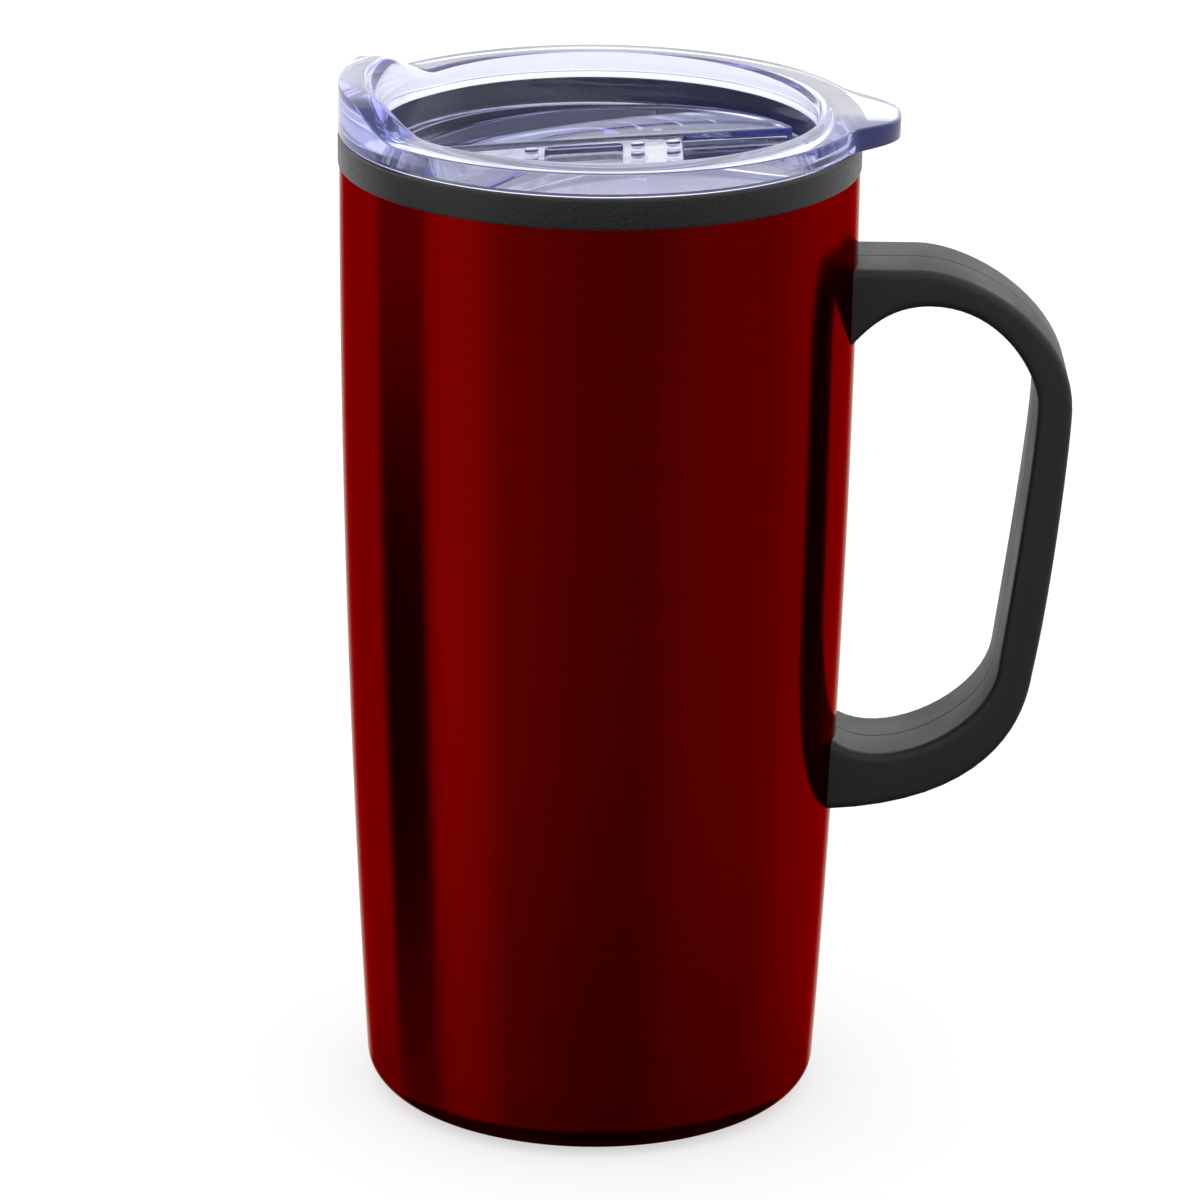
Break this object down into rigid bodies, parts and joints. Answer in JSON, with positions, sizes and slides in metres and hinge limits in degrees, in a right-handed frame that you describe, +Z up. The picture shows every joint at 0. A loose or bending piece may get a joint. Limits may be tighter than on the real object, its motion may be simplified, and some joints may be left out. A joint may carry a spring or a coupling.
{
  "type": "insulated travel mug",
  "caption": "Tall tapered insulated travel mug: lacquered steel shell over a plastic liner, bolted D-shaped handle, and a clear push-in lid with a spout lobe, thumb tab and sliding closure.",
  "frame": {"origin": "on the mug's axis, where the base pad meets the table", "axes": "+Z up the mug's axis, +X towards the handle and the lid's thumb tab, -X towards the drinking spout, Y across"},
  "size_m": [0.1243, 0.088, 0.1794],
  "materials": {
    "shell_steel": "translucent red lacquer over fine round-brushed stainless steel",
    "pad_rubber": "matte",
    "liner_plastic": "moulded charcoal polypropylene, fine grain",
    "handle_plastic": "moulded black polypropylene, fine grain",
    "fastener_steel": "zinc plated",
    "lid_clear": "clear moulded acrylic-like plastic with a violet tint",
    "gasket_silicone": "translucent silicone",
    "slider_clear": "clear moulded plastic"
  },
  "bodies": {
    "mug": {"outer_shell": "shell_steel", "base_pad": "pad_rubber", "liner": "liner_plastic", "handle": "handle_plastic", "upper_washer": "fastener_steel", "lower_washer": "fastener_steel", "upper_handle_screw": "fastener_steel", "lower_handle_screw": "fastener_steel"},
    "lid_seal": {"lid_gasket": "gasket_silicone"},
    "lid": {"lid_body": "lid_clear"},
    "slider": {"slider": "slider_clear", "slider_retainer": "slider_clear"}
  },
  "joints": [
    {"name": "lid_lift", "type": "slide", "parent": "mug", "child": "lid_seal", "axis": [0, 0, 1], "range_m": [0, 0.04]},
    {"name": "lid_turn", "type": "hinge", "parent": "lid_seal", "child": "lid", "pos_m": [0, 0, 0.1625], "axis": [0, 0, 1], "continuous": true},
    {"name": "slider_slide", "type": "slide", "parent": "lid", "child": "slider", "axis": [0.9976, 0, 0.0698], "range_m": [0, 0.017]}
  ]
}
